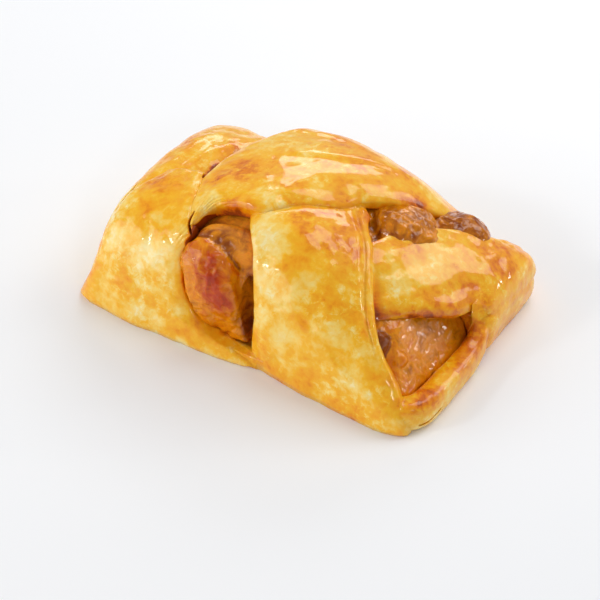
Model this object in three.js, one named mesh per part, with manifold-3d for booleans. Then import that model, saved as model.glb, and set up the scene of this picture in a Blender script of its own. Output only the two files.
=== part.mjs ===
// Plaited apple strudel: one sheet of puff pastry, slit into strips that fold over an apple filling
// from both sides. Millimetres, +Z up. X runs along the loaf, -Y is the front side, and the origin is
// the middle of the flat underside.
import * as THREE from "three";
import { ParametricGeometry } from "three/addons/geometries/ParametricGeometry.js";
import { mergeVertices } from "three/addons/utils/BufferGeometryUtils.js";
import Module from "manifold-3d";

const wasm = await Module();
wasm.setup();
const { clamp, degToRad, lerp } = THREE.MathUtils;

// Driving sizes of the loaf
const HALF_LENGTH = 64;
const HALF_WIDTH = 42;
const RIDGE_HEIGHTS = [36, 36.6, 41.2, 45, 41.5, 31.5, 22]; // evenly spaced from left to right
const SECTION_POWERS = { front: 3.2, back: 2.8 }; // 2 would be an ellipse, more is boxier
const END_POWERS = {
  left: { height: 5.6, front: 24, back: 10 }, // more is blunter
  right: { height: 7, front: 16, back: 16 },
};
const ENDS_START = 48; // from here to the tips the ends are uneven
const ENDS_RUN = 14;
const LEFT_PRESS = { depth: 4.4, sideRun: 30, height: 32 }; // the left end leans in above its front foot
const BACK_TUCK = { depth: 1.6, side: 20, sideRun: 14, height: 9 }; // the back right foot is tucked under

// Dough and filling
const CRUST = 5;
const CROWN = 0.9; // how far a strip swells in its middle
const STRIP_POWER = 4.6; // squareness of a strip's edges
const BLISTER = 0.35; // height of the dough's unevenness
const BASE_THICK = 4.5;
const BASE_INSET = 0.6; // how far the base and the closed ends stay inside the loaf's surface
const BASE_END = 60.5; // the base stops here, under the rim
const CAVITY_ENDS = [-57, 58];
const GAP = 0.3; // clearance between dough and filling
const SLIVER = 0.03; // detail below this size is smoothed away

// A strip is laid over the loaf between two edges. Each edge point is [x, turn, lift]. The turn goes
// round the section from -90 degrees at the front foot over 0 at the ridge to 90 at the back foot. The
// lift is the height of the strip's top over the loaf's own surface. A negative lift tucks a tip under
// its neighbour.
const STRIPS = {
  back_right: {
    left: [
      [50.5, 90, 0.5], [51, 70, 0.6], [50, 48, 1], [45.5, 30.5, 0.8],
      [38, 15, 0.4], [28.5, -0.5, -0.6], [21, -16, -4.6],
    ],
    right: [
      [59.5, 90, 0], [63, 58, 3.2], [63.4, 27, 3], [62.8, 6, 1.5],
      [59, 1.5, 0], [48.5, -13, -0.6], [39.5, -32, -4.6],
    ],
  },
  front_right: {
    left: [[3.5, -90, -1.2], [4.5, -70, -0.2], [0.5, -45, 0.3], [-7, -24, -0.2], [-16, -3, -4.6]],
    right: [[61.5, -90, 2.6], [55, -64, 0.2], [43, -38, 0.6], [29, -6, 0.8], [7, 7, -4.6]],
  },
  back_left: {
    left: [[-62.5, 90, 1], [-61, 60, 1.6], [-60.5, 30, 1.6], [-59.5, -5, 1], [-57, -28, -3]],
    right: [[-20, 90, 0.5], [-23, 62, -3], [-30, 34, -4.8], [-37, 8, -3.6], [-38, -12, -4.4]],
  },
  front_left: {
    left: [[-63.8, -90, 3.4], [-60.5, -66, 0.6], [-58.5, -40, 0.4], [-55, -17, 0.9], [-50, -4, 0.9]],
    right: [[7, -90, 1], [-16.5, -83.6, 0.2], [-24.2, -57, 0], [-24, -34, 0], [-35, -3, 0.3]],
  },
  back_middle: {
    left: [
      [-8, 90, 0.5], [-13, 60, 2.2], [-22, 35, 4.6], [-29.5, 16, 2.7], [-34, 5, 1.5],
      [-35.5, -3, 1], [-33.5, -11, 0.4], [-30, -22, 0.1], [-25.5, -35, -0.4],
    ],
    right: [
      [44, 90, 0.5], [42, 52, -1], [33.5, 25.5, -0.6], [20, 3.5, 0.8], [4, -8, 1.6],
      [-5.5, -18, 1.4], [-14.5, -18.5, 0.7], [-21.5, -21, 0.3], [-24, -33, -0.4],
    ],
  },
};
const STRIP_SLICES = 20;
const STACKS_PER_SPAN = 3.5;
const STRIP_STACKS = 18; // at least

// Narrow cracks between strips: the middle line is of [x, turn] points
const CRACKS = [
  { line: [[-35.6, 1.2], [-35.3, -1.5], [-35.2, -5.4]], halfWidth: 1.2, depth: 4 },
  { line: [[-26.6, -26], [-26, -33.5], [-23, -42]], halfWidth: 0.6, depth: 2.5 },
];

// Apple pieces that show in the openings: centre, half sizes, and tilt about X, Y, Z in degrees
const APPLES = {
  front: { centre: [-13, -33.4, 20.5], half: [10.5, 7.5, 15.5], tilt: [0, -16, 0] },
  front_inner: { centre: [-9, -26, 30], half: [14, 6.5, 8], tilt: [30, 0, 8] },
  top_near: { centre: [27, 10.5, 28.3], half: [12, 15, 9], tilt: [-12, 18, 40] },
  top_far: { centre: [39.5, 24, 20.5], half: [11.5, 10, 10], tilt: [-25, 12, 30] },
  end_dark: { centre: [44, -30, 18.5], half: [3, 4, 6], tilt: [20, 0, 0] },
  end_pale: { centre: [49, -28.5, 14.5], half: [2.6, 3.2, 4.2], tilt: [20, 30, 0] },
  rear: { centre: [-13, 33.5, 18], half: [11, 7.5, 12], tilt: [0, 14, 0] },
};
// Hollows in the filling, beside the apple pieces that show
const HOLLOWS = {
  front_gap: { centre: [1, -37, 17], half: [3, 7, 14], tilt: [0, -6, 0] },
};
const APPLE_ROUNDNESS = 2.6;
const APPLE_UNEVEN = 0.05;

// The filling slopes down towards the rim at the right end
const SLOPE_POINT = new THREE.Vector3(47, 0, 22);
const SLOPE_DIRECTION = new THREE.Vector3(0.82, 0, 0.57).normalize();

// The low folded wall that closes the right end below the opening there, and curls up and back under
// the strip behind it
const END_RIM = {
  path: [
    [49, -38, 4], [56, -38, 4.6], [60.4, -34, 5], [61.4, -24, 5], [61.6, -12, 4.7],
    [61.6, -5, 5], [61, 1.5, 7.6], [58, 4.6, 11.4], [53, 4.4, 14.2],
  ],
  halfWide: [3, 3.8, 4.2, 4, 3.8, 3.4, 3.2, 2.8, 1.6],
  halfHigh: [3.6, 5, 5.2, 5, 4.8, 4.6, 4, 3.4, 1.6],
  roundness: 0.6,
};
const RIM_CORNER = { centre: [60.2, 7.6, 7.4], half: [4, 6, 7.3], tilt: [0, 0, 0] };

// The closed corner at the back of the right end, cut off along a slanting line
const CORNER_LENGTH = 5.5;
const CORNER_START = new THREE.Vector3(HALF_LENGTH, 10, 0);
const CORNER_SLANT = degToRad(150);

const ridge = new THREE.SplineCurve(RIDGE_HEIGHTS.map((z, i) => new THREE.Vector2(i, z)));
const signedPower = (value, power) => Math.sign(value) * Math.abs(value) ** power;
const endRounding = (x, power) => (1 - Math.min(1, Math.abs(x / HALF_LENGTH)) ** power) ** (1 / power);
const curveThrough = (points) =>
  new THREE.CatmullRomCurve3(points.map((p) => new THREE.Vector3(...p)), false, "catmullrom");

// Half width and height of the loaf's section at x, on its front or back side
function section(x, side) {
  const along = clamp((x / HALF_LENGTH + 1) / 2, 0, 1);
  const powers = x < 0 ? END_POWERS.left : END_POWERS.right;
  return {
    halfWidth: Math.max(HALF_WIDTH * endRounding(x, powers[side]), 0.01),
    height: Math.max(ridge.getPoint(along).y * endRounding(x, powers.height), 0.01),
  };
}

// The left end is pressed in above its front foot, and the foot at the back right corner is tucked under
function unevenEnds(point) {
  const left = clamp((-point.x - ENDS_START) / ENDS_RUN, 0, 1) * clamp(-point.y / LEFT_PRESS.sideRun, 0, 1);
  const press = left * Math.sin(Math.PI * clamp(point.z / LEFT_PRESS.height, 0, 1));
  const back = clamp((point.y - BACK_TUCK.side) / BACK_TUCK.sideRun, 0, 1);
  const right = clamp((point.x - ENDS_START) / ENDS_RUN, 0, 1) * back;
  const tuck = right * clamp(1 - point.z / BACK_TUCK.height, 0, 1) ** 2;
  point.x += LEFT_PRESS.depth * press - BACK_TUCK.depth * tuck;
  point.y -= BACK_TUCK.depth * tuck;
  return point;
}

// Point of the loaf's surface at x and turn, moved out by lift along the section's normal
function loafPoint(x, turn, lift, target) {
  const side = turn > 0 ? "back" : "front";
  const power = SECTION_POWERS[side];
  const { halfWidth, height } = section(x, side);
  const angle = degToRad(turn);
  const y = halfWidth * signedPower(Math.sin(angle), 2 / power);
  const z = height * Math.abs(Math.cos(angle)) ** (2 / power);
  const normal = new THREE.Vector2(
    signedPower(y / halfWidth, power - 1) / halfWidth,
    (z / height) ** (power - 1) / height,
  ).normalize();
  return unevenEnds(target.set(x, y + lift * normal.x, Math.max(z + lift * normal.y, 0)));
}

// Gentle unevenness of baked dough: three waves that cross each other
const WAVES = [
  { share: 0.5, length: 6.1, turn: 13, start: 0 },
  { share: 0.35, length: 9.7, turn: -8.5, start: 1.3 },
  { share: 0.25, length: 4.3, turn: 31, start: 0.4 },
];
const blister = (x, turn) =>
  WAVES.reduce((sum, w) => sum + BLISTER * w.share * Math.sin(x / w.length + turn / w.turn + w.start), 0);

// A closed geometry as a solid. Triangles that collapse at a pole are left out.
function solidOf(geometry) {
  geometry.deleteAttribute("normal");
  geometry.deleteAttribute("uv");
  const merged = mergeVertices(geometry, 1e-4);
  const triangles = [];
  for (let i = 0; i < merged.index.count; i += 3) {
    const [a, b, c] = merged.index.array.slice(i, i + 3);
    if (a !== b && b !== c && c !== a) triangles.push([a, b, c]);
  }
  const build = (list) =>
    new wasm.Manifold(
      new wasm.Mesh({
        numProp: 3,
        vertProperties: merged.attributes.position.array,
        triVerts: new Uint32Array(list.flat()),
      }),
    );
  const solid = build(triangles);
  return solid.volume() > 0 ? solid : build(triangles.map(([a, b, c]) => [a, c, b]));
}

// A closed skin of rings with a flat cap at each end. The point of a ring is given by its share of the
// turn round the ring and by the ring's station, both from 0 to 1.
function ringSolid(ringPoint, slices, stacks) {
  const middle = (station, target) => {
    const sum = new THREE.Vector3();
    for (let i = 0; i < slices; i++) sum.add(ringPoint(i / slices, station, target));
    return target.copy(sum.divideScalar(slices));
  };
  const rows = stacks + 2;
  const skin = new ParametricGeometry(
    (u, v, target) => {
      const row = Math.round(v * rows);
      const station = clamp((row - 1) / stacks, 0, 1);
      if (row === 0 || row === rows) return middle(station, target);
      return ringPoint(u === 1 ? 0 : u, station, target);
    },
    slices,
    rows,
  );
  return solidOf(skin);
}

// One strip of dough, thickest in its middle and rounded along its edges. The first half of each ring is
// its outer face from the left edge to the right edge, the second half its inner face back again.
function strip({ left, right }) {
  const [leftEdge, rightEdge] = [curveThrough(left), curveThrough(right)];
  const [a, b] = [new THREE.Vector3(), new THREE.Vector3()];
  return ringSolid(
    (u, station, target) => {
      const outer = u < 0.5;
      const across = Math.sin((outer ? 4 * u - 1 : 3 - 4 * u) * (Math.PI / 2));
      const through = (1 - Math.abs(across) ** STRIP_POWER) ** (1 / STRIP_POWER) * (outer ? 1 : -1);
      leftEdge.getPoint(station, a);
      rightEdge.getPoint(station, b);
      const [x, turn, lift] = a.lerp(b, (across + 1) / 2);
      const swell = outer ? through * (CROWN * (1 - across ** 2) + blister(x, turn)) : 0;
      return loafPoint(x, turn, lift + (through - 1) * (CRUST / 2 + GAP) + swell, target);
    },
    STRIP_SLICES,
    Math.max(STRIP_STACKS, STACKS_PER_SPAN * (left.length - 1)),
  );
}

// The loaf's own form between two stations, set in from its surface, on a flat foot
function loafSolid(from, to, inset, foot, slices = 36, stacks = 18) {
  const over = 0.8; // share of each ring that goes over the top, the rest closes it along the foot
  return ringSolid(
    (u, station, target) => {
      const x = lerp(from, to, (1 - Math.cos(station * Math.PI)) / 2);
      if (u <= over) {
        loafPoint(x, lerp(-90, 90, u / over), -inset, target);
        target.z = Math.max(target.z, foot);
        return target;
      }
      const back = lerp(1, -1, (u - over) / (1 - over));
      loafPoint(x, Math.sign(back) * 90, -inset, target);
      return target.set(target.x, target.y * Math.abs(back), foot);
    },
    slices,
    stacks,
  );
}

// A crack: a thin lens along its line, which opens through the crust's surface
function crack({ line, halfWidth, depth }) {
  const path = curveThrough(line.map(([x, turn]) => [x, turn, 0]));
  const reach = 0.98; // stops just short of the lens's own tips
  const at = (station, lift) => {
    const { x, y: turn } = path.getPoint(clamp(station, 0, 1));
    return loafPoint(x, turn, lift, new THREE.Vector3());
  };
  return ringSolid(
    (u, station, target) => {
      const middle = at(station, 0);
      const outer = at(station, 1).sub(middle);
      const along = at(station + 0.01, 0).sub(at(station - 0.01, 0));
      const across = new THREE.Vector3().crossVectors(outer, along).normalize();
      const swell = Math.sqrt(1 - (reach * (2 * station - 1)) ** 2);
      const around = u * 2 * Math.PI;
      return target
        .copy(middle)
        .addScaledVector(across, halfWidth * swell * Math.cos(around))
        .addScaledVector(outer, depth * swell * Math.sin(around));
    },
    10,
    10,
  );
}

// An apple piece: a lump with soft corners
function apple({ centre, half, tilt }, grow = 0) {
  const lump = ringSolid(
    (u, station, target) => {
      const around = u * 2 * Math.PI;
      const up = -Math.cos(station * Math.PI);
      const reach = (1 - Math.abs(up) ** APPLE_ROUNDNESS) ** (1 / APPLE_ROUNDNESS);
      const bumps = Math.sin(3 * around + centre[0]) + Math.sin(4 * up + around);
      const uneven = 1 + APPLE_UNEVEN * reach * bumps;
      return target.set(
        (half[0] * uneven + grow) * reach * signedPower(Math.cos(around), 2 / APPLE_ROUNDNESS),
        (half[1] * uneven + grow) * reach * signedPower(Math.sin(around), 2 / APPLE_ROUNDNESS),
        (half[2] + grow) * up,
      );
    },
    16,
    10,
  );
  return lump.rotate(tilt).translate(centre);
}

// The rim that closes the right end, with the rounded corner where it curls up
function endRim(grow = 0) {
  const { halfWide, halfHigh, roundness } = END_RIM;
  const path = curveThrough(END_RIM.path);
  const halves = halfWide.map((w, i) => new THREE.Vector2(w + grow, halfHigh[i] + grow));
  const sizes = new THREE.SplineCurve(halves);
  const [tangent, size] = [new THREE.Vector3(), new THREE.Vector2()];
  const wall = ringSolid(
    (u, station, target) => {
      path.getTangent(station, tangent);
      sizes.getPoint(station, size);
      const across = new THREE.Vector3(tangent.y, -tangent.x, 0).normalize();
      const up = new THREE.Vector3().crossVectors(across, tangent);
      const around = u * 2 * Math.PI;
      path.getPoint(station, target);
      target.addScaledVector(across, size.x * signedPower(Math.cos(around), roundness));
      target.addScaledVector(up, size.y * signedPower(Math.sin(around), roundness));
      return target.setZ(Math.max(target.z, 0));
    },
    14,
    26,
  );
  return wall.add(apple(RIM_CORNER, grow));
}

const joined = (solids) => solids.reduce((sum, solid) => sum.add(solid));

// The part of a solid on the side of a plane that its direction points to
const keepSide = (solid, point, direction) => solid.trimByPlane(direction.toArray(), point.dot(direction));

// The main body of a solid, without the slivers and loose crumbs that a cut leaves
const mainBody = (solid) =>
  solid.simplify(SLIVER).decompose().sort((a, b) => b.volume() - a.volume())[0];

const lumps = (pieces, grow = 0) => joined(Object.values(pieces).map((piece) => apple(piece, grow)));

function pastrySolid() {
  const loaf = loafSolid(-HALF_LENGTH + BASE_INSET, BASE_END, BASE_INSET, 0, 40, 24);
  const base = keepSide(loaf, new THREE.Vector3(0, 0, BASE_THICK), new THREE.Vector3(0, 0, -1));
  const leftEnd = loafSolid(-HALF_LENGTH + GAP, CAVITY_ENDS[0] - GAP, BASE_INSET, 0, 30, 8);
  const rightEnd = loafSolid(HALF_LENGTH - CORNER_LENGTH, HALF_LENGTH - GAP, BASE_INSET, 0, 30, 8);
  const cornerSide = new THREE.Vector3(Math.cos(CORNER_SLANT), Math.sin(CORNER_SLANT), 0);
  const corner = keepSide(rightEnd, CORNER_START, cornerSide);
  const dough = joined([base, leftEnd, corner, ...Object.values(STRIPS).map(strip)]);
  const core = loafSolid(CAVITY_ENDS[0] - GAP, CAVITY_ENDS[1] + GAP, CRUST, BASE_THICK);
  const hollow = dough.subtract(core).add(endRim());
  return mainBody(hollow.subtract(joined([lumps(APPLES, GAP), ...CRACKS.map(crack)])));
}

function fillingSolid() {
  const core = loafSolid(...CAVITY_ENDS, CRUST + GAP, BASE_THICK + GAP);
  const sloped = keepSide(core, SLOPE_POINT, SLOPE_DIRECTION.clone().negate());
  return mainBody(sloped.subtract(endRim(GAP)).add(lumps(APPLES)).subtract(lumps(HOLLOWS)));
}

function meshOf(name, solid, look) {
  const { vertProperties, triVerts } = solid.getMesh();
  const geometry = new THREE.BufferGeometry()
    .setAttribute("position", new THREE.BufferAttribute(vertProperties, 3))
    .setIndex(new THREE.BufferAttribute(triVerts, 1));
  geometry.computeVertexNormals();
  const mesh = new THREE.Mesh(geometry, new THREE.MeshStandardMaterial(look));
  mesh.name = name;
  return mesh;
}

const strudel = new THREE.Group();
strudel.add(
  meshOf("pastry", pastrySolid(), { color: 0xe8ab48, roughness: 0.4, metalness: 0 }),
  meshOf("filling", fillingSolid(), { color: 0xa85f1f, roughness: 0.25, metalness: 0 }),
);

export default strudel;
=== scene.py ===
"""Plaited apple strudel: a glazed puff pastry loaf with cooked apple showing in the openings of its plait."""
import itertools
import math

import bmesh
import bpy
import numpy as np
from mathutils import Euler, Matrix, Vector


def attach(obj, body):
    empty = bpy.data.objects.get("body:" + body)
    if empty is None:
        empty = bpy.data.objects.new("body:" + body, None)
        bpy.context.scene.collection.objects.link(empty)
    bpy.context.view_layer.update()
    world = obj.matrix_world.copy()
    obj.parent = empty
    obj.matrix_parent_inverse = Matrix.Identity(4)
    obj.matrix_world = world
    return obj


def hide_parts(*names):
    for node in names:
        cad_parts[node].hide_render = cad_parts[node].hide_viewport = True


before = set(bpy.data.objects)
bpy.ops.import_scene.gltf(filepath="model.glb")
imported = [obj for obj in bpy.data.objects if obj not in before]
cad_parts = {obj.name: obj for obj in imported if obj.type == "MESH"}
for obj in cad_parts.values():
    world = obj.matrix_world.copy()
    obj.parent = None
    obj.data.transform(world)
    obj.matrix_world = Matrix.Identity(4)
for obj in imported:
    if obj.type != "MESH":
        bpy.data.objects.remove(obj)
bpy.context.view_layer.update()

# Driving sizes of the loaf, in millimetres
MM = 0.001
HALF_LENGTH = 64.0
SURFACE_END = 63.0
HALF_WIDTH = 42.0
RIDGE_HEIGHTS = [36, 36.6, 41.2, 45, 41.5, 31.5, 22]
FRONT_POWER = 3.2
BACK_POWER = 2.8
LEFT_END = {"height": 5.6, "front": 24, "back": 10}
RIGHT_END = {"height": 7, "front": 16, "back": 16}
CRUST = 5.0
CROWN = 0.9
STRIP_POWER = 4.6
GAP = 0.3
BASE_THICK = 4.5
END_START = 48.0
END_RUN = 14.0
LEFT_PRESS = 4.4
PRESS_SPREAD = 30.0
PRESS_HEIGHT = 32.0
TUCK = 1.6
TUCK_START = 20.0
TUCK_HEIGHT = 9.0
CAVITY_ENDS = (-57.0, 58.0)
CORNER_START = 10.0
BASE_END = 60.5
CORNER_SLANT = math.radians(150)
PASTRY_FACES = 190000
FILLING_FACES = 120000

# Strips of dough, laid between two edges. An edge point is x, turn round the section in degrees, and lift
STRIPS = {
    "back_right": {
        "left": [
            [50.5, 90, 0.5],
            [51, 70, 0.6],
            [50, 48, 1],
            [45.5, 30.5, 0.8],
            [38, 15, 0.4],
            [28.5, -0.5, -0.6],
            [21, -16, -4.6],
        ],
        "right": [
            [59.5, 90, 0],
            [63, 58, 3.2],
            [63.4, 27, 3],
            [62.8, 6, 1.5],
            [59, 1.5, 0],
            [48.5, -13, -0.6],
            [39.5, -32, -4.6],
        ],
    },
    "front_right": {
        "left": [[3.5, -90, -1.2], [4.5, -70, -0.2], [0.5, -45, 0.3], [-7, -24, -0.2], [-16, -3, -4.6]],
        "right": [[61.5, -90, 2.6], [55, -64, 0.2], [43, -38, 0.6], [29, -6, 0.8], [7, 7, -4.6]],
    },
    "back_left": {
        "left": [[-62.5, 90, 1], [-61, 60, 1.6], [-60.5, 30, 1.6], [-59.5, -5, 1], [-57, -28, -3]],
        "right": [[-20, 90, 0.5], [-23, 62, -3], [-30, 34, -4.8], [-37, 8, -3.6], [-38, -12, -4.4]],
    },
    "front_left": {
        "left": [[-63.8, -90, 3.4], [-60.5, -66, 0.6], [-58.5, -40, 0.4], [-55, -17, 0.9], [-50, -4, 0.9]],
        "right": [[7, -90, 1], [-16.5, -83.6, 0.2], [-24.2, -57, 0], [-24, -34, 0], [-35, -3, 0.3]],
    },
    "back_middle": {
        "left": [
            [-8, 90, 0.5],
            [-13, 60, 2.2],
            [-22, 35, 4.6],
            [-29.5, 16, 2.7],
            [-34, 5, 1.5],
            [-35.5, -3, 1],
            [-33.5, -11, 0.4],
            [-30, -22, 0.1],
            [-25.5, -35, -0.4],
        ],
        "right": [
            [44, 90, 0.5],
            [42, 52, -1],
            [33.5, 25.5, -0.6],
            [20, 3.5, 0.8],
            [4, -8, 1.6],
            [-5.5, -18, 1.4],
            [-14.5, -18.5, 0.7],
            [-21.5, -21, 0.3],
            [-24, -33, -0.4],
        ],
    },
}

# Folds on the topmost strip, as lines of x and y, and how high their step is
CREASES = [
    [[-20, 23.1], [-9.8, 23.6], [-0.8, 23.6]],
    [[-8.2, 9], [4.2, 13.3], [14.8, 21.3]],
]
CREASE_STEP = 0.35
CREASE_WIDTH = 0.7
CREASE_REACH = 5.0

# The smooth, shiny band on the topmost strip: its middle line, half width and lowest height
SMOOTH_BAND = [[-10.5, -1.4], [2.8, 6.9], [17, 14.5]]
BAND_HALF_WIDTH = 4.0
BAND_LOWEST = 38.0

# Ripples on the strips: how far a strip runs from its middle to an edge and from end to end,
# and the width, length and height of the long and the short ripples
STRIP_ACROSS = 20.0
STRIP_ALONG = 110.0
LONG_RIPPLE = {"wide": 7, "long": 26, "height": 0.45}
SHORT_RIPPLE = {"wide": 5, "long": 6, "height": 0.2}

# Blisters all over the crust: height, size and place in the random pattern
BLISTERS = [(0.2, 5.5, 8.4), (0.13, 3.2, 2.2), (0.07, 1.6, 5.2)]

# Narrow cracks between strips: middle line, half width and depth
CRACKS = [
    {"line": [[-35.6, 1.2], [-35.3, -1.5], [-35.2, -5.4]], "half_width": 1.2, "depth": 4},
    {"line": [[-26.6, -26], [-26, -33.5], [-23, -42]], "half_width": 0.6, "depth": 2.5},
]

# Apple pieces that show in the openings: centre, half sizes and tilt
APPLE_ROUNDNESS = 2.6
APPLES = {
    "front": {"centre": [-13, -33.4, 20.5], "half": [10.5, 7.5, 15.5], "tilt": [0, -16, 0]},
    "front_inner": {"centre": [-9, -26, 30], "half": [14, 6.5, 8], "tilt": [30, 0, 8]},
    "top_near": {"centre": [27, 10.5, 28.3], "half": [12, 15, 9], "tilt": [-12, 18, 40]},
    "top_far": {"centre": [39.5, 24, 20.5], "half": [11.5, 10, 10], "tilt": [-25, 12, 30]},
    "end_dark": {"centre": [44, -30, 18.5], "half": [3, 4, 6], "tilt": [20, 0, 0]},
    "end_pale": {"centre": [49, -28.5, 14.5], "half": [2.6, 3.2, 4.2], "tilt": [20, 30, 0]},
    "rear": {"centre": [-13, 33.5, 18], "half": [11, 7.5, 12], "tilt": [0, 14, 0]},
}

# Tones of the filling, from brown at 0 over amber to red at 1
APPLE_TONES = {
    "front": 0.64,
    "front_inner": 0.3,
    "top_near": 0.42,
    "top_far": 0.36,
    "end_dark": 0.25,
    "end_pale": 0.6,
    "rear": 0.5,
}
CORE_TONE = 0.55
RECESS_TONE = 0.47

# Hollows in the filling, beside the apple pieces that show
HOLLOWS = {
    "front_gap": {"centre": [1, -37, 17], "half": [3, 7, 14], "tilt": [0, -6, 0]},
}

# Spots in the filling: place, radius and change of tone. The first four make the front apple piece redder and
# the fifth makes its lower left darker; the last three are painted shade, darkening the gap beside the front
# apple piece and the filling seen in the left crack.
TONE_SPOTS_AND_PAINTED_SHADE = [
    [-10, -40.5, 28, 1.6, 0.3],
    [-9, -40, 24, 6, 0.16],
    [-5, -39, 19, 5, 0.2],
    [-11, -40, 34, 5, 0.14],
    [-19, -39, 16, 7, -0.16],
    # Painted shade: the last three spots darken the gap beside the front apple piece and the filling in the
    # left crack
    [3, -35, 24, 6, -0.5],
    [2, -36, 13, 6, -0.5],
    [-39.5, 3, 33.5, 6, -0.4],
]

# The dull inner wall behind the front opening
RECESS = {"centre": [-8, -23, 35], "half": [17, 10, 11], "tilt": [0, 0, 0]}

# The filling slopes down to the rim at the right end: a point on the slope and its direction
SLOPE_POINT = (47, 0, 22)
SLOPE_DIRECTION = (0.82, 0, 0.57)

# The low folded wall at the right end
RIM_PATH = [
    [49, -38, 4],
    [56, -38, 4.6],
    [60.4, -34, 5],
    [61.4, -24, 5],
    [61.6, -12, 4.7],
    [61.6, -5, 5],
    [61, 1.5, 7.6],
    [58, 4.6, 11.4],
    [53, 4.4, 14.2],
]
RIM_HALF_WIDE = [3, 3.8, 4.2, 4, 3.8, 3.4, 3.2, 2.8, 1.6]
RIM_HALF_HIGH = [3.6, 5, 5.2, 5, 4.8, 4.6, 4, 3.4, 1.6]
RIM_SQUARENESS = 0.6
RIM_CORNER = {"centre": [60.2, 7.6, 7.4], "half": [4, 6, 7.3], "tilt": [0, 0, 0]}
RIM_SLIT = {"centre": [64, -33, 3.4], "half": [3, 5, 0.35], "tilt": [8, 0, 10]}


# Curves and smooth random values
NOISE_CELLS = 32
NOISE = np.random.default_rng(11).uniform(-1, 1, (NOISE_CELLS,) * 3)


def noise(points, size, shift=0.0):
    """Smooth random value from -1 to 1 at each point, with features about size across."""
    place = np.asarray(points) / size + shift
    cell = np.floor(place).astype(int)
    part = place - cell
    part = part * part * (3 - 2 * part)
    total = np.zeros(place.shape[:-1])
    for corner in itertools.product((0, 1), repeat=3):
        weight = np.prod(np.where(corner, part, 1 - part), axis=-1)
        index = (cell + corner) % NOISE_CELLS
        total += weight * NOISE[index[..., 0], index[..., 1], index[..., 2]]
    return total


def smooth_curve(points, share, repeat_ends=False):
    """Points of a smooth curve through the given points, at shares 0 to 1 of its length in knots."""
    knots = np.asarray(points, float)
    if knots.ndim == 1:
        knots = knots[:, None]
    first = knots[0] if repeat_ends else 2 * knots[0] - knots[1]
    last = knots[-1] if repeat_ends else 2 * knots[-1] - knots[-2]
    padded = np.vstack([first, knots, last])
    spans = len(knots) - 1
    place = np.clip(np.asarray(share, float), 0, 1) * spans
    index = np.minimum(place.astype(int), spans - 1)
    part = (place - index)[..., None]
    before, start, end, after = (padded[index + i] for i in range(4))
    return 0.5 * (
        2 * start
        + (end - before) * part
        + (2 * before - 5 * start + 4 * end - after) * part ** 2
        + (3 * start - before - 3 * end + after) * part ** 3
    )


def signed_power(value, power):
    return np.sign(value) * np.abs(value) ** power


def rise(value, start, run):
    """0 up to the start, and from there evenly up to 1 over the run."""
    return np.clip((value - start) / run, 0, 1)


def fall(value, end, run):
    """1 at first, evenly down to 0 over the run before the end."""
    return np.clip((end - value) / run, 0, 1)


# The loaf's surface
def end_rounding(x, key):
    power = np.where(x < 0, LEFT_END[key], RIGHT_END[key])
    return (1 - np.minimum(1, np.abs(x / HALF_LENGTH)) ** power) ** (1 / power)


def section(x, back):
    """Half width and height of the loaf's section at x, on its front or back side."""
    ridge = smooth_curve(RIDGE_HEIGHTS, (x / HALF_LENGTH + 1) / 2, repeat_ends=True)[..., 0]
    side = np.where(back, end_rounding(x, "back"), end_rounding(x, "front"))
    return np.maximum(HALF_WIDTH * side, 0.01), np.maximum(ridge * end_rounding(x, "height"), 0.01)


def loaf_point(x, turn, lift):
    """Point of the loaf at x and turn, moved out by lift along the section's normal."""
    x, turn, lift = np.broadcast_arrays(*(np.asarray(v, float) for v in (x, turn, lift)))
    half_width, height = section(x, turn > 0)
    power = np.where(turn > 0, BACK_POWER, FRONT_POWER)
    angle = np.radians(turn)
    y = half_width * signed_power(np.sin(angle), 2 / power)
    z = height * np.abs(np.cos(angle)) ** (2 / power)
    normal_y = signed_power(y / half_width, power - 1) / half_width
    normal_z = (z / height) ** (power - 1) / height
    length = np.hypot(normal_y, normal_z) + 1e-12
    return uneven_ends(x, y + lift * normal_y / length, np.maximum(z + lift * normal_z / length, 0))


def uneven_ends(x, y, z):
    """Presses the left end in above its front foot, and tucks the foot under at the back right corner."""
    press = rise(-x, END_START, END_RUN) * rise(-y, 0, PRESS_SPREAD)
    press = press * np.sin(math.pi * rise(z, 0, PRESS_HEIGHT))
    tuck = rise(x, END_START, END_RUN) * rise(y, TUCK_START, END_RUN)
    tuck = tuck * np.clip(1 - z / TUCK_HEIGHT, 0, 1) ** 2
    return np.stack([x + LEFT_PRESS * press - TUCK * tuck, y - TUCK * tuck, z], -1)


def loaf_place(points):
    """The x and turn of points near the loaf's surface."""
    x = np.clip(points[:, 0], -HALF_LENGTH + 0.5, HALF_LENGTH - 0.5)
    half_width, height = section(x, points[:, 1] > 0)
    power = np.where(points[:, 1] > 0, BACK_POWER, FRONT_POWER)
    side = signed_power(points[:, 1] / half_width, power / 2)
    top = np.maximum(points[:, 2] / height, 0) ** (power / 2)
    return points[:, 0], np.degrees(np.arctan2(side, top))


def surface_distance(points, lift):
    """Distance of points from the loaf's surface moved out by lift, at their own x and turn."""
    x, turn = loaf_place(points)
    return np.linalg.norm(points - loaf_point(np.clip(x, -SURFACE_END, SURFACE_END), turn, lift), axis=1)


# Meshes from rings of points
def ring_mesh(rings):
    """Closed mesh of a stack of rings, with a fan at each end: points and faces."""
    stacks, slices = rings.shape[:2]
    points = [rings.reshape(-1, 3), rings[0].mean(0)[None], rings[-1].mean(0)[None]]
    low, high = stacks * slices, stacks * slices + 1
    faces = []
    for i in range(stacks - 1):
        for j in range(slices):
            k = (j + 1) % slices
            faces.append((i * slices + j, i * slices + k, (i + 1) * slices + k, (i + 1) * slices + j))
    for j in range(slices):
        k = (j + 1) % slices
        faces.append((low, k, j))
        faces.append((high, (stacks - 1) * slices + j, (stacks - 1) * slices + k))
    return np.vstack(points), faces


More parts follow.
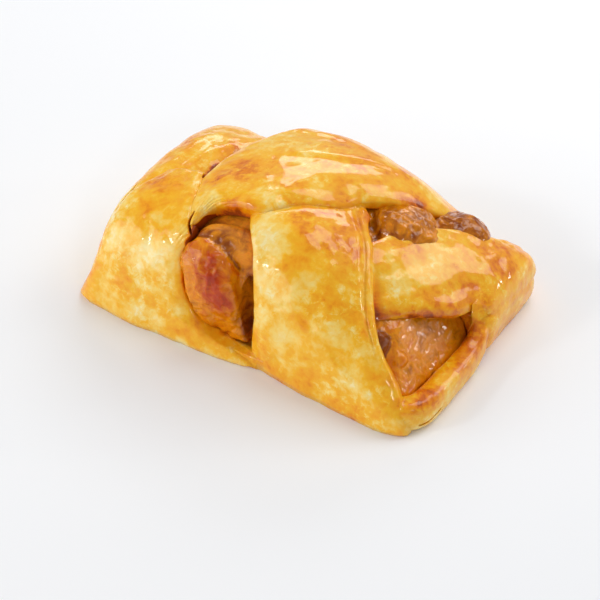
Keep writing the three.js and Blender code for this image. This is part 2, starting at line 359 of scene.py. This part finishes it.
def ripples(across, station, start, wide, long, height):
    """Random ripples of a width, length and height on a strip."""
    level = np.full(across.shape, start)
    place = np.stack([across * STRIP_ACROSS / wide, station * STRIP_ALONG / long, level], -1)
    return height * noise(place, 1)


def strip_relief(name, across, station, x, turn):
    """Height of the dough's unevenness on the outer face of a strip."""
    start = 10.0 * list(STRIPS).index(name)
    height = CROWN * (1 - across ** 2)
    long_ripples = ripples(across, station, start, **LONG_RIPPLE)
    short_ripples = ripples(across, station, start + 5, **SHORT_RIPPLE)
    height += long_ripples + short_ripples
    if name == "back_middle":
        height += tip_flakes(across, station) + creases(x, turn)
    if name == "front_right":
        height += edge_folds(across, station)
    if name == "front_left":
        height += edge_tears(across, station)
    return height


def line_distance(place, line):
    """Distance of level places from a line of points, and which side of it they are on."""
    nearest = np.full(place.shape[:-1], np.inf)
    side = np.zeros(place.shape[:-1])
    for start, end in zip(np.array(line[:-1], float), np.array(line[1:], float)):
        along = end - start
        share = np.clip((place - start) @ along / (along @ along), 0, 1)
        away = place - start - share[..., None] * along
        distance = np.linalg.norm(away, axis=-1)
        turned = np.sign(along[0] * away[..., 1] - along[1] * away[..., 0])
        side = np.where(distance < nearest, turned, side)
        nearest = np.minimum(nearest, distance)
    return nearest, side


def creases(x, turn):
    """Folds on the topmost strip: behind each line the dough steps up a little."""
    place = loaf_point(x, turn, 0)[..., :2]
    height = np.zeros_like(x)
    for line in CREASES:
        distance, side = line_distance(place, line)
        step = np.tanh(distance / CREASE_WIDTH) * np.exp(-((distance / CREASE_REACH) ** 2))
        height += CREASE_STEP * side * step
    return height


def tip_flakes(across, station):
    """Thin layers of dough that show side by side along the lip of the topmost strip's tip."""
    in_reach = rise(station, 0.66, 0.1) * rise(across, -0.2, 0.6)
    layers = (across * 5.5 + 0.6 * np.sin(station * 19)) % 1
    return in_reach * (0.55 * layers - 0.3)


def edge_folds(across, station):
    """The two rolled ridges along the right edge of the front right strip."""
    in_reach = rise(station, 0.3, 0.15) * fall(station, 0.93, 0.1)
    groove = np.exp(-((across - 0.86) / 0.035) ** 2)
    ridge = np.exp(-((across - 0.77) / 0.06) ** 2)
    return in_reach * (0.5 * ridge - 0.9 * groove)


def edge_tears(across, station):
    """Fine tears along the right edge of the front left strip, beside the opening."""
    in_reach = rise(station, 0.58, 0.06) * fall(station, 0.84, 0.06)
    near_edge = rise(across, 0.55, 0.2)
    return in_reach * near_edge * 0.22 * np.sin(across * 80 + 4 * np.sin(station * 14))


def strip_mesh(name):
    stations = np.linspace(0, 1, 150)
    around = np.linspace(0, 2, 160, endpoint=False)
    edge_left = smooth_curve(STRIPS[name]["left"], stations)
    edge_right = smooth_curve(STRIPS[name]["right"], stations)
    swing = np.where(around < 1, around * 2 - 1, 3 - around * 2)
    across = np.sin(swing * math.pi / 2)
    through = np.where(around < 1, 1, -1) * (1 - np.abs(across) ** STRIP_POWER) ** (1 / STRIP_POWER)
    place = edge_left[:, None] + (edge_right - edge_left)[:, None] * ((across + 1) / 2)[None, :, None]
    x, turn, lift = np.moveaxis(place, -1, 0)
    across, through = np.broadcast_to(across, x.shape), np.broadcast_to(through, x.shape)
    station = np.broadcast_to(stations[:, None], x.shape)
    relief = np.maximum(through, 0) * strip_relief(name, across, station, x, turn)
    depth = lift + (through - 1) * (CRUST / 2 + GAP) + relief
    return ring_mesh(loaf_point(x, turn, np.maximum(depth, -CRUST)))


def loaf_mesh(start, end, inset, foot, slices=160, stacks=120):
    """The loaf's form from a start to an end along x, inset from its surface and flat at the foot."""
    top_share = 0.8
    stations = (1 - np.cos(np.linspace(0, math.pi, stacks))) / 2
    x = (start + (end - start) * stations)[:, None]
    round_share = np.linspace(0, 1, slices, endpoint=False)[None, :]
    on_top = round_share <= top_share
    below = 90 - 180 * (round_share - top_share) / (1 - top_share)
    turn = np.where(on_top, -90 + 180 * round_share / top_share, below)
    points = loaf_point(x, np.where(on_top, turn, np.sign(turn) * 90), -inset)
    points[..., 1] *= np.where(on_top, 1, np.abs(turn) / 90)
    points[..., 2] = np.where(on_top, np.maximum(points[..., 2], foot), foot)
    return ring_mesh(points)


def crack_mesh(line, half_width, depth):
    """A thin lens that cuts a crack into the crust."""
    stations = np.linspace(0, 1, 24)
    place = smooth_curve(line, stations)
    middle = loaf_point(place[:, 0], place[:, 1], 0)
    outer = loaf_point(place[:, 0], place[:, 1], 1) - middle
    across = np.cross(outer, np.gradient(middle, axis=0))
    across /= np.linalg.norm(across, axis=1)[:, None]
    swell = np.sqrt(1 - (1.96 * stations - 0.98) ** 2)[:, None, None]
    around = np.linspace(0, 2 * math.pi, 16, endpoint=False)[None, :, None]
    rings = middle[:, None] + across[:, None] * half_width * swell * np.cos(around)
    return ring_mesh(rings + outer[:, None] * depth * swell * np.sin(around))


def rim_mesh(grow=0.0):
    """The rolled rim of dough, grown on all sides."""
    stations = np.linspace(0, 1, 110)
    path = smooth_curve(RIM_PATH, stations)
    tangent = np.gradient(path, axis=0)
    tangent /= np.linalg.norm(tangent, axis=1)[:, None]
    across = np.stack([tangent[:, 1], -tangent[:, 0], np.zeros(len(path))], -1)
    across /= np.linalg.norm(across, axis=1)[:, None]
    up = np.cross(across, tangent)
    wide = smooth_curve(RIM_HALF_WIDE, stations, repeat_ends=True) + grow
    high = smooth_curve(RIM_HALF_HIGH, stations, repeat_ends=True) + grow
    around = np.linspace(0, 2 * math.pi, 60, endpoint=False)[None, :]
    rings = path[:, None] + across[:, None] * (wide * signed_power(np.cos(around), RIM_SQUARENESS))[..., None]
    rings += up[:, None] * (high * signed_power(np.sin(around), RIM_SQUARENESS))[..., None]
    rings[..., 2] = np.maximum(rings[..., 2], 0)
    return ring_mesh(rings)


def apple_mesh(centre, half, tilt):
    """A rounded lump, fuller than an ellipsoid."""
    around = np.linspace(0, 2 * math.pi, 120, endpoint=False)[None, :]
    up = -np.cos(np.linspace(0.02, math.pi - 0.02, 80))[:, None]
    reach = (1 - np.abs(up) ** APPLE_ROUNDNESS) ** (1 / APPLE_ROUNDNESS)
    points = np.stack(
        np.broadcast_arrays(
            half[0] * reach * signed_power(np.cos(around), 2 / APPLE_ROUNDNESS),
            half[1] * reach * signed_power(np.sin(around), 2 / APPLE_ROUNDNESS),
            half[2] * up,
        ),
        -1,
    )
    turn = np.array(Euler([math.radians(a) for a in tilt]).to_matrix())
    return ring_mesh(points @ turn.T + centre)


def cut_mesh(mesh, point, direction, keep_below=True):
    """A closed mesh cut flat by a plane, with the cut filled."""
    shape = bmesh.new()
    for p in mesh[0]:
        shape.verts.new(p)
    shape.verts.ensure_lookup_table()
    for face in mesh[1]:
        shape.faces.new([shape.verts[i] for i in face])
    everything = shape.verts[:] + shape.edges[:] + shape.faces[:]
    cut = bmesh.ops.bisect_plane(
        shape,
        geom=everything,
        plane_co=point,
        plane_no=direction,
        clear_outer=keep_below,
        clear_inner=not keep_below,
    )
    edges = [e for e in cut["geom_cut"] if isinstance(e, bmesh.types.BMEdge)]
    bmesh.ops.edgeloop_fill(shape, edges=edges)
    shape.verts.index_update()
    points = np.array([v.co for v in shape.verts])
    faces = [tuple(v.index for v in f.verts) for f in shape.faces]
    shape.free()
    return points, faces


def object_of(name, mesh):
    data = bpy.data.meshes.new(name)
    data.from_pydata(mesh[0].tolist(), [], mesh[1])
    data.update()
    thing = bpy.data.objects.new(name, data)
    bpy.context.scene.collection.objects.link(thing)
    return thing


def settle(thing):
    """Applies an object's modifiers to its mesh."""
    graph = bpy.context.evaluated_depsgraph_get()
    data = bpy.data.meshes.new_from_object(thing.evaluated_get(graph))
    thing.modifiers.clear()
    old = thing.data
    thing.data = data
    bpy.data.meshes.remove(old)


def outward(mesh):
    """The mesh with its faces turned to look outwards."""
    points, faces = mesh
    corners = np.array([(f[0], f[i], f[i + 1]) for f in faces for i in range(1, len(f) - 1)])
    a, b, c = (points[corners[:, i]] for i in range(3))
    volume = np.einsum("ij,ij->", a, np.cross(b, c))
    return mesh if volume > 0 else (points, [face[::-1] for face in faces])


def built(name, first, steps):
    """One solid: a closed mesh with others joined to it and cut from it, in the order of the steps."""
    thing = object_of(name, outward(first))
    tools = []
    for operation, group in steps:
        for mesh in group:
            tools.append(object_of("tool", outward(mesh)))
            step = thing.modifiers.new("step", "BOOLEAN")
            step.operation = operation
            step.solver = "MANIFOLD"
            step.object = tools[-1]
    settle(thing)
    for tool in tools:
        data = tool.data
        bpy.data.objects.remove(tool)
        bpy.data.meshes.remove(data)
    return thing


def even_out(thing, voxel):
    """Gives a closed skin evenly spread faces."""
    remesh = thing.modifiers.new("even", "REMESH")
    remesh.mode = "VOXEL"
    remesh.voxel_size = voxel
    settle(thing)


def get_points(thing):
    flat = np.empty(len(thing.data.vertices) * 3, np.float32)
    thing.data.vertices.foreach_get("co", flat)
    return flat.reshape(-1, 3).astype(float)


def set_points(thing, points):
    thing.data.vertices.foreach_set("co", points.astype(np.float32).ravel())
    thing.data.update()


def get_normals(thing):
    flat = np.empty(len(thing.data.vertices) * 3, np.float32)
    thing.data.vertex_normals.foreach_get("vector", flat)
    return flat.reshape(-1, 3).astype(float)


def set_value(thing, name, values):
    layer = thing.data.attributes.new(name, "FLOAT", "POINT")
    layer.data.foreach_set("value", np.asarray(values, np.float32))


def soften(thing, rounds, share=0.5, weight=None):
    """Evens out the points towards their neighbours."""
    edges = np.empty(len(thing.data.edges) * 2, np.int32)
    thing.data.edges.foreach_get("vertices", edges)
    a, b = edges.reshape(-1, 2).T
    points = get_points(thing)
    count = np.bincount(a, minlength=len(points)) + np.bincount(b, minlength=len(points))
    for _ in range(rounds):
        total = np.zeros_like(points)
        for axis in range(3):
            total[:, axis] = np.bincount(a, points[b, axis], len(points))
            total[:, axis] += np.bincount(b, points[a, axis], len(points))
        move = (total / count[:, None] - points) * share
        points += move if weight is None else move * weight[:, None]
    set_points(thing, points)


def thin_out(thing, faces, keep):
    """Fewer triangles, first where keep is low."""
    group = thing.vertex_groups.new(name="keep")
    levels = np.round(np.clip(1 - keep, 0, 1) * 10) / 10
    for level in np.unique(levels):
        group.add(np.flatnonzero(levels == level).tolist(), float(level), "REPLACE")
    triangles = sum(len(p.vertices) - 2 for p in thing.data.polygons)
    if triangles > faces:
        thin = thing.modifiers.new("thin", "DECIMATE")
        thin.ratio = faces / triangles
        thin.vertex_group = "keep"
        thin.vertex_group_factor = 1.0
        settle(thing)
    thing.vertex_groups.clear()


def finish_piece(thing, node, material):
    set_points(thing, get_points(thing) * MM)
    thing.data.polygons.foreach_set("use_smooth", np.ones(len(thing.data.polygons), bool))
    thing.data.materials.clear()
    thing.data.materials.append(material)
    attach(thing, "root")
    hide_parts(node)


# Node materials
def material_of(name):
    look = bpy.data.materials.new(name)
    look.use_nodes = True
    tree = look.node_tree
    tree.nodes.clear()
    shader = tree.nodes.new("ShaderNodeBsdfPrincipled")
    output = tree.nodes.new("ShaderNodeOutputMaterial")
    tree.links.new(shader.outputs["BSDF"], output.inputs["Surface"])
    return look, tree, shader


def attribute(tree, name):
    reader = tree.nodes.new("ShaderNodeAttribute")
    reader.attribute_name = name
    return reader.outputs["Fac"]


def place_of(tree):
    return tree.nodes.new("ShaderNodeTexCoord").outputs["Object"]


def grain(tree, size_mm, detail=3.0, rough=0.5, warp=0.0):
    texture = tree.nodes.new("ShaderNodeTexNoise")
    texture.inputs["Scale"].default_value = 1 / (size_mm * MM)
    texture.inputs["Detail"].default_value = detail
    texture.inputs["Roughness"].default_value = rough
    texture.inputs["Distortion"].default_value = warp
    tree.links.new(place_of(tree), texture.inputs["Vector"])
    return texture.outputs["Fac"]


def combine(tree, operation, first, second):
    step = tree.nodes.new("ShaderNodeMath")
    step.operation = operation
    for socket, value in zip(step.inputs, (first, second)):
        if isinstance(value, (int, float)):
            socket.default_value = value
        else:
            tree.links.new(value, socket)
    return step.outputs[0]


def spread(tree, value, low, high):
    """A value eased from 0 at low to 1 at high."""
    step = tree.nodes.new("ShaderNodeMapRange")
    step.interpolation_type = "SMOOTHSTEP"
    step.inputs["From Min"].default_value = low
    step.inputs["From Max"].default_value = high
    tree.links.new(value, step.inputs["Value"])
    return step.outputs["Result"]


def ramp(tree, value, stops):
    scale = tree.nodes.new("ShaderNodeValToRGB")
    elements = scale.color_ramp.elements
    while len(elements) < len(stops):
        elements.new(0.5)
    for element, (place, colour) in zip(elements, stops):
        element.position = place
        element.color = (*linear(colour), 1)
    tree.links.new(value, scale.inputs["Fac"])
    return scale.outputs["Color"]


def linear(colour):
    """Linear light values of a colour given in 0 to 255."""
    share = np.asarray(colour, float) / 255
    return np.where(share <= 0.04045, share / 12.92, ((share + 0.055) / 1.055) ** 2.4).tolist()


def mottling(tree, amount, *kind):
    """Random tone around zero: a grain of some kind, scaled by an amount."""
    return combine(tree, "MULTIPLY", combine(tree, "SUBTRACT", grain(tree, *kind), 0.5), amount)


def bumps(tree, shader, height, strength, distance):
    bump = tree.nodes.new("ShaderNodeBump")
    bump.inputs["Strength"].default_value = strength
    bump.inputs["Distance"].default_value = distance * MM
    tree.links.new(height, bump.inputs["Height"])
    tree.links.new(bump.outputs["Normal"], shader.inputs["Normal"])


def set_inputs(shader, values):
    for name, value in values.items():
        shader.inputs[name].default_value = value


# Colours of the crust over its browning and painted shade, and of the filling over its tone and painted
# shade, in 0 to 255
CRUST_COLOURS = [
    (0.0, (252, 230, 164)),
    (0.22, (252, 211, 104)),
    (0.4, (249, 186, 32)),
    (0.6, (244, 160, 4)),
    (0.8, (220, 112, 2)),
    (1.0, (150, 60, 2)),
]
APPLE_COLOURS = [
    (0.0, (70, 26, 4)),
    (0.3, (146, 70, 6)),
    (0.55, (234, 146, 14)),
    (0.8, (190, 66, 2)),
    (1.0, (168, 44, 0)),
]


def crust_material():
    look, tree, shader = material_of("baked_crust")
    mottle = mottling(tree, 0.85, 7, 4, 0.55, 0.4)
    fine = mottling(tree, 0.5, 2.4, 3, 0.55, 0.3)
    zones = spread(tree, grain(tree, 13, 2, 0.5), 0.42, 0.6)
    flecks = spread(tree, grain(tree, 2.6, 6, 0.66, 0.5), 0.47, 0.66)
    pale = combine(tree, "MULTIPLY", combine(tree, "MULTIPLY", zones, flecks), -0.24)
    mottle = combine(tree, "ADD", mottle, pale)
    # The browning value also carries painted shade inside the cracks
    browning_and_painted_shade = combine(tree, "ADD", attribute(tree, "browning_and_painted_shade"), combine(tree, "ADD", mottle, fine))
    tree.links.new(ramp(tree, browning_and_painted_shade, CRUST_COLOURS), shader.inputs["Base Color"])
    bumps(tree, shader, grain(tree, 1.6, 5, 0.6), 0.5, 0.3)
    glaze = {
        "Roughness": 0.42,
        "Subsurface Weight": 0.15,
        "Subsurface Radius": (1.0, 0.5, 0.2),
        "Subsurface Scale": 1.5 * MM,
        "Specular IOR Level": 0.15,
        "Coat Weight": 0.65,
        "Coat Roughness": 0.07,
    }
    set_inputs(shader, glaze)
    return look


def filling_material():
    look, tree, shader = material_of("cooked_apple")
    tone = combine(tree, "ADD", attribute(tree, "tone"), mottling(tree, 0.7, 5, 4, 0.6, 0.8))
    tree.links.new(ramp(tree, tone, APPLE_COLOURS), shader.inputs["Base Color"])
    tree.links.new(attribute(tree, "rough"), shader.inputs["Roughness"])
    bumps(tree, shader, grain(tree, 1.3, 2, 0.5), 0.35, 0.4)
    syrup = {
        "Specular IOR Level": 0.4,
        "Subsurface Weight": 0.25,
        "Subsurface Radius": (1.0, 0.4, 0.1),
        "Subsurface Scale": 2.5 * MM,
    }
    set_inputs(shader, syrup)
    return look


# Browning on the crust: x, turn, radius in millimetres and strength, below zero for paler
BROWNING = [
    [-45.2, -18.8, 6, 0.28],
    [-41.2, -3.8, 6, 0.12],
    [-40, -41.8, 4, 0.15],
    [-24.2, -3.2, 4, 0.15],
    [-27.2, -6, 3, 0.15],
    [17, -33, 4, 0.1],
    [21.2, -62.2, 5, 0.25],
    [22.2, -19, 5, 0.04],
    [36, -41.2, 5, 0.2],
    [27.2, -44.2, 7, 0.12],
    [52.2, -4.8, 6, 0.16],
    [43, -26.5, 4, 0.25],
    [-59.2, -80.5, 3.5, 0.35],
    [-30.8, -56.5, 10, -0.12],
    [-23.8, -45, 7, -0.14],
    [5.5, -30.2, 7, -0.18],
    [11.2, -60, 7, -0.24],
    [20.5, -80.2, 8, -0.25],
    [38.2, -5.5, 8, -0.14],
    [-18, -2, 12, 0.03],
    [-27, 4, 7, -0.12],
    [6, 16, 14, 0.17],
    [16, -70, 8, -0.22],
    [-14.5, -21.5, 5.5, 0.55],
    [-8, -18, 3, 0.3],
    [29, 18, 4, 0.6],
    [21.8, 1.5, 2, 0.35],
    [27, -2, 2, 0.35],
]
SPOT_SHARE = 0.8

# Browning all over the crust: its middle level, and patches by strength, size and place in the random pattern
BAKE_LEVEL = 0.42
BAKE_PATCHES = [(0.16, 16, 3.3), (0.16, 7, 6.1)]
TOP_BAKE = 0.06

# The evenly browned right end: its level, and how far that level wins over the patches
END_LEVEL = 0.66
END_EVENNESS = 0.75

# Browning of soaked edges, of the rim and of the cut face at the right end, and painted shade inside the
# cracks
SOAKED_BAKE = 0.45
RIM_BAKE = 0.13
CUT_FACE_BAKE = -0.08
CRACK_PAINTED_SHADE = 0.9

# The openings in the crust, where its edges are soaked brown: place and reach in millimetres
OPENINGS = [
    [-10, -33, 30, 22],
    [31, 12, 32, 22],
    [48, -15, 18, 22],
]


def pastry_shape():
    """The base, the left end, the right corner, the strips and the rim, joined, with room for the filling."""
    strips = [strip_mesh(name) for name in STRIPS]
    base = cut_mesh(loaf_mesh(-HALF_LENGTH + 0.6, BASE_END, 0.6, 0), (0, 0, BASE_THICK), (0, 0, 1))
    left_end = loaf_mesh(-HALF_LENGTH + 0.2, CAVITY_ENDS[0] - GAP, 0.4, 0)
    right_end = loaf_mesh(HALF_LENGTH - 5.5, HALF_LENGTH - 0.2, 0.5, 0)
    slant = (math.cos(CORNER_SLANT), math.sin(CORNER_SLANT), 0)
    corner = cut_mesh(right_end, (HALF_LENGTH, CORNER_START, 0), slant, keep_below=False)
    core = loaf_mesh(CAVITY_ENDS[0] - GAP, CAVITY_ENDS[1] + GAP, CRUST + 0.02, BASE_THICK - 0.02)
    cracks = [crack_mesh(**crack) for crack in CRACKS]
    steps = [
        ("UNION", [left_end, corner, *strips]),
        ("DIFFERENCE", [core]),
        ("UNION", [rim_mesh(), apple_mesh(**RIM_CORNER)]),
        ("DIFFERENCE", [*cracks, apple_mesh(**RIM_SLIT)]),
    ]
    return built("pastry_crust", base, steps)


def soften_joins(thing):
    """Rounds the dough a little, and more at the right corner and at the front foot beside the rim."""
    soften(thing, 1, 0.3)
    x, y, z = get_points(thing).T
    soften(thing, 20, 0.5, rise(x, 56, 3) * rise(y, 1, 4))
    near_foot = rise(x, 50, 4) * fall(y, -34, 4)
    near_foot *= fall(z, 13, 5) * rise(z, 2, 4)
    soften(thing, 10, 0.5, near_foot)


def add_blisters(thing):
    points, normals = get_points(thing), get_normals(thing)
    height = sum(strength * noise(points, size, shift) for strength, size, shift in BLISTERS)
    band_distance = line_distance(points[:, :2], SMOOTH_BAND)[0] / BAND_HALF_WIDTH
    in_band = np.exp(-(band_distance ** 2)) * (points[:, 2] > BAND_LOWEST)
    points += normals * (height * (1 - 0.75 * in_band))[:, None]
    points[:, 2] = np.maximum(points[:, 2], 0)
    set_points(thing, points)


def on_outside(points):
    """Whether points of the crust are on its outside or at an end, and not on the wall of the cavity."""
    from_cavity = surface_distance(points, -CRUST)
    return (from_cavity > 2) | (np.abs(points[:, 0]) > -CAVITY_ENDS[0])


def soaked_share(points):
    """How near points are to an opening, from 0 to 1."""
    share = np.zeros(len(points))
    for *place, reach in OPENINGS:
        share = np.maximum(share, fall(np.linalg.norm(points - place, axis=1), reach, 5))
    return share


def browning_and_painted_shade_level(points, normals):
    """How far the crust is browned, from pale at 0 to dark at 1, with painted shade on the walls inside the
    cracks.
    """
    x, turn = loaf_place(points)
    y, z = points[:, 1], points[:, 2]
    browning_and_painted_shade = np.full(len(points), BAKE_LEVEL)
    for strength, size, shift in BAKE_PATCHES:
        browning_and_painted_shade += strength * noise(points, size, shift)
    browning_and_painted_shade += TOP_BAKE * np.clip(normals[:, 2], 0, 1)
    for spot_x, spot_turn, radius, strength in BROWNING:
        distance = np.linalg.norm(points - loaf_point(spot_x, spot_turn, 0), axis=1)
        browning_and_painted_shade += SPOT_SHARE * strength * np.exp(-(distance / radius) ** 2)
    at_end = rise(x, 42, 9) * rise(turn, -14, 6)
    browning_and_painted_shade += END_EVENNESS * at_end * (END_LEVEL - browning_and_painted_shade)
    depth = surface_distance(points, 3) - 3
    inside = rise(depth, 1, 3) * fall(x, 57, 5)
    browning_and_painted_shade += SOAKED_BAKE * soaked_share(points) * inside
    on_rim = rise(x, 55, 2) * fall(y, 6, 3) * rise(z, 5, 3) * fall(z, 13, 3)
    browning_and_painted_shade += RIM_BAKE * on_rim
    cut_face = rise(normals[:, 0], 0.5, 0.3) * rise(x, 61, 1)
    browning_and_painted_shade += CUT_FACE_BAKE * cut_face
    # Painted shade: the walls inside the cracks are darkened
    for crack in CRACKS:
        places = smooth_curve(crack["line"], np.linspace(0, 1, 12))
        middle = loaf_point(places[:, 0], places[:, 1], -1)
        distance = np.linalg.norm(points[:, None] - middle, axis=2).min(1)
        browning_and_painted_shade += CRACK_PAINTED_SHADE * np.clip(2.4 + depth - distance, 0, 1) * rise(depth, -0.1, 1.2)
    return browning_and_painted_shade


def pastry():
    thing = pastry_shape()
    soften_joins(thing)
    outside = on_outside(get_points(thing))
    add_blisters(thing)
    keep = np.where(outside & (get_points(thing)[:, 2] > 0.4), 1.0, 0.2)
    thin_out(thing, PASTRY_FACES, keep)
    set_value(thing, "browning_and_painted_shade", browning_and_painted_shade_level(get_points(thing), get_normals(thing)))
    finish_piece(thing, "pastry", crust_material())


def apple_closeness(points, centre, half, tilt):
    """About 1 on and inside an apple piece, falling to 0 a few millimetres away from it."""
    turn = np.array(Euler([math.radians(a) for a in tilt]).to_matrix())
    local = (points - centre) @ turn / half
    size = (np.abs(local) ** APPLE_ROUNDNESS).sum(1) ** (1 / APPLE_ROUNDNESS)
    return fall(size, 1.25, 0.2)


def recess_closeness(points):
    return apple_closeness(points, **RECESS) * (1 - apple_closeness(points, **APPLES["front"]))


def filling_shows(points):
    """Whether points of the filling are in or near one of the openings."""
    x, y, z = points.T
    front = (np.abs(x + 10) < 18) & (y < -18)
    top = (np.abs(x - 31) < 21) & (y > -6) & (z > 14)
    end = (x > 36) & (y < 12)
    rear = (np.abs(x + 13) < 14) & (y > 24)
    return front | top | end | rear


def filling_shape():
    """The apple core under the strips, with the pieces that show and room for the rim."""
    core = loaf_mesh(*CAVITY_ENDS, CRUST + GAP, BASE_THICK + GAP)
    core = cut_mesh(core, SLOPE_POINT, SLOPE_DIRECTION)
    lumps = [apple_mesh(**size) for size in APPLES.values()]
    hollows = [apple_mesh(**size) for size in HOLLOWS.values()]
    rim = [rim_mesh(GAP), apple_mesh(**RIM_CORNER)]
    steps = [("DIFFERENCE", rim), ("UNION", lumps), ("DIFFERENCE", hollows)]
    return built("apple_filling", core, steps)


def ridges(points, height, level, size, shift):
    """Sharp random ridges of a height and size, which stand out above a level."""
    return height * (level - np.abs(noise(points, size, shift)))


def filling_relief(points):
    """How far the apple swells out where it shows. Where it doesn't, it is drawn in a little."""
    x, y = points[:, 0], points[:, 1]
    lumps = 0.9 * noise(points, 8, 1.2) + ridges(points, 0.5, 0.5, 5.5, 3.2)
    wrinkles = ridges(points, 0.5, 0.4, 2.4, 7.2) + 0.16 * noise(points, 1.3, 2.9)
    on_top = rise(x, 8, 4) * rise(y, -4, 4)
    wrinkles += on_top * ridges(points, 0.7, 0.4, 3.4, 4.7)
    on_front = apple_closeness(points, **APPLES["front"])
    wrinkles += on_front * ridges(points * (1, 1, 0.5), 0.9, 0.35, 3.2, 9.1)
    share = (1 - 0.5 * rise(x, 42, 4)) * (1 - 0.8 * recess_closeness(points))
    return np.where(filling_shows(points), (lumps + wrinkles) * share, -0.2)


def filling_tone(points):
    tone = np.full(len(points), CORE_TONE)
    for name, size in APPLES.items():
        tone += apple_closeness(points, **size) * (APPLE_TONES[name] - tone)
    tone += recess_closeness(points) * (RECESS_TONE - tone)
    # Spots of tone, and painted shade in the gap beside the front apple piece and in the left crack
    for *place, radius, change in TONE_SPOTS_AND_PAINTED_SHADE:
        tone += change * np.exp(-((np.linalg.norm(points - place, axis=1) / radius) ** 2))
    return tone


def filling():
    thing = filling_shape()
    even_out(thing, 0.38)
    soften(thing, 4)
    points = get_points(thing)
    points += get_normals(thing) * filling_relief(points)[:, None]
    points[:, 2] = np.maximum(points[:, 2], BASE_THICK + 0.1)
    set_points(thing, points)
    thin_out(thing, FILLING_FACES, np.where(filling_shows(points), 1.0, 0.2))
    points = get_points(thing)
    set_value(thing, "tone", filling_tone(points))
    set_value(thing, "rough", 0.07 + 0.45 * recess_closeness(points))
    finish_piece(thing, "filling", filling_material())


# Floor, light and camera
def floor():
    mesh = bmesh.new()
    bmesh.ops.create_grid(mesh, x_segments=2, y_segments=2, size=4.0)
    data = bpy.data.meshes.new("floor")
    mesh.to_mesh(data)
    mesh.free()
    thing = bpy.data.objects.new("floor", data)
    bpy.context.scene.collection.objects.link(thing)
    look, tree, shader = material_of("pale_floor")
    set_inputs(shader, {"Base Color": (0.93, 0.94, 0.96, 1), "Roughness": 0.9, "Specular IOR Level": 0.0})
    data.materials.append(look)


def way_to(azimuth, elevation):
    """The way to a place at an azimuth from the front and an elevation, in degrees."""
    turn, up = math.radians(azimuth), math.radians(elevation)
    return Vector((math.sin(turn) * math.cos(up), -math.cos(turn) * math.cos(up), math.sin(up)))


# Soft lights: azimuth and elevation in degrees, distance, width and height in metres, and radiance
LIGHTS = {
    "front_left": (-46, 18, 0.9, 0.96, 0.6, 2.05),
    "front_lamp": (-38, 34, 0.9, 0.12, 0.085, 26),
    "right_lamp": (51, 33, 0.9, 0.1, 0.08, 20),
    "back_left": (203, 29, 0.8, 0.54, 0.16, 4.5),
    "right_low": (131, 14, 0.9, 0.09, 0.07, 24),
    "back_right": (150, 40, 0.9, 0.5, 0.4, 3.7),
    "back_top": (172, 70, 0.9, 0.4, 0.34, 3.8),
}
WORLD_LIGHT = 0.35


def softbox(name, azimuth, elevation, distance, width, height, radiance):
    """A flat soft light that faces the strudel."""
    light = bpy.data.lights.new(name, "AREA")
    light.shape = "RECTANGLE"
    light.size = width
    light.size_y = height
    light.energy = radiance * width * height * math.pi
    thing = bpy.data.objects.new(name, light)
    away = way_to(azimuth, elevation)
    thing.location = away * distance
    thing.rotation_euler = away.to_track_quat("Z", "Y").to_euler()
    bpy.context.scene.collection.objects.link(thing)


def studio():
    world = bpy.data.worlds.new("studio")
    bpy.context.scene.world = world
    world.use_nodes = True
    back = world.node_tree.nodes["Background"]
    back.inputs["Color"].default_value = (1, 1, 1, 1)
    back.inputs["Strength"].default_value = WORLD_LIGHT
    for name, values in LIGHTS.items():
        softbox(name, *values)
    bpy.context.scene.view_settings.view_transform = "Standard"


# The camera: what it looks at and how far it is, in millimetres, and its angles in degrees
CAMERA_AIM = Vector((9.46, -20.5, 15.0))
CAMERA_AZIMUTH = 33.28
CAMERA_ELEVATION = 40
CAMERA_DISTANCE = 520.84


def camera():
    lens = bpy.data.cameras.new("camera")
    lens.lens = 100
    lens.sensor_width = 36
    lens.clip_start = 0.01
    thing = bpy.data.objects.new("camera", lens)
    away = way_to(CAMERA_AZIMUTH, CAMERA_ELEVATION)
    thing.location = (CAMERA_AIM + away * CAMERA_DISTANCE) * MM
    thing.rotation_euler = away.to_track_quat("Z", "Y").to_euler()
    bpy.context.scene.collection.objects.link(thing)
    bpy.context.scene.camera = thing


camera()
studio()
floor()
pastry()
filling()

bpy.context.view_layer.update()
